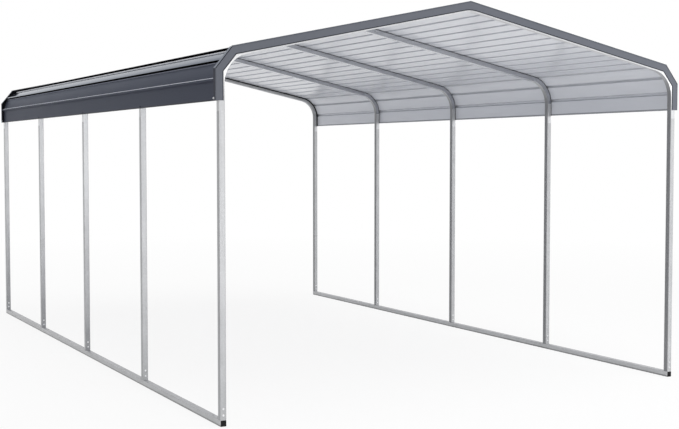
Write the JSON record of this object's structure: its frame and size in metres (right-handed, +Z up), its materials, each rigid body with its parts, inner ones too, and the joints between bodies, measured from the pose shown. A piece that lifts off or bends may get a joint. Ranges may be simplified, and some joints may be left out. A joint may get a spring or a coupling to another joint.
{
  "type": "carport",
  "caption": "Open carport: ribbed steel roof with rounded eaves and turned-down sides, on bent square-tube bows and posts that stand on base rails, with folded trim at the gables.",
  "frame": {"origin": "on the ground at the middle of the footprint", "axes": "+X to the right seen from the front gable, +Y along the length from the front gable to the rear, +Z up"},
  "size_m": [3.7124, 6.0426, 2.7168],
  "materials": {
    "zinc_tube": "galvanised",
    "roof_sheet": "semi-gloss anthracite outside, pale grey backing coat inside",
    "gable_trim": "satin anthracite",
    "rail_plug": "moulded black"
  },
  "bodies": {
    "root": {"base_rail_left": "zinc_tube", "base_rail_right": "zinc_tube", "rail_plugs_front": "rail_plug", "rail_plugs_rear": "rail_plug", "post_stubs": "zinc_tube", "post_left_1": "zinc_tube", "post_left_2": "zinc_tube", "post_left_3": "zinc_tube", "post_left_4": "zinc_tube", "post_left_5": "zinc_tube", "post_right_1": "zinc_tube", "post_right_2": "zinc_tube", "post_right_3": "zinc_tube", "post_right_4": "zinc_tube", "post_right_5": "zinc_tube", "bow_left_1": "zinc_tube", "bow_left_2": "zinc_tube", "bow_left_3": "zinc_tube", "bow_left_4": "zinc_tube", "bow_left_5": "zinc_tube", "bow_right_1": "zinc_tube", "bow_right_2": "zinc_tube", "bow_right_3": "zinc_tube", "bow_right_4": "zinc_tube", "bow_right_5": "zinc_tube", "ridge_sleeves": "zinc_tube", "side_sheet_left": "roof_sheet", "side_sheet_right": "roof_sheet", "eave_sheet_left": "roof_sheet", "eave_sheet_right": "roof_sheet", "roof_sheet_left": "roof_sheet", "roof_sheet_right": "roof_sheet", "ridge_sheet": "roof_sheet", "side_trim_front_left": "gable_trim", "corner_trim_front_left": "gable_trim", "rake_trim_front_left": "gable_trim", "side_trim_front_right": "gable_trim", "corner_trim_front_right": "gable_trim", "rake_trim_front_right": "gable_trim", "side_trim_rear_left": "gable_trim", "corner_trim_rear_left": "gable_trim", "rake_trim_rear_left": "gable_trim", "side_trim_rear_right": "gable_trim", "corner_trim_rear_right": "gable_trim", "rake_trim_rear_right": "gable_trim"}
  },
  "joints": []
}
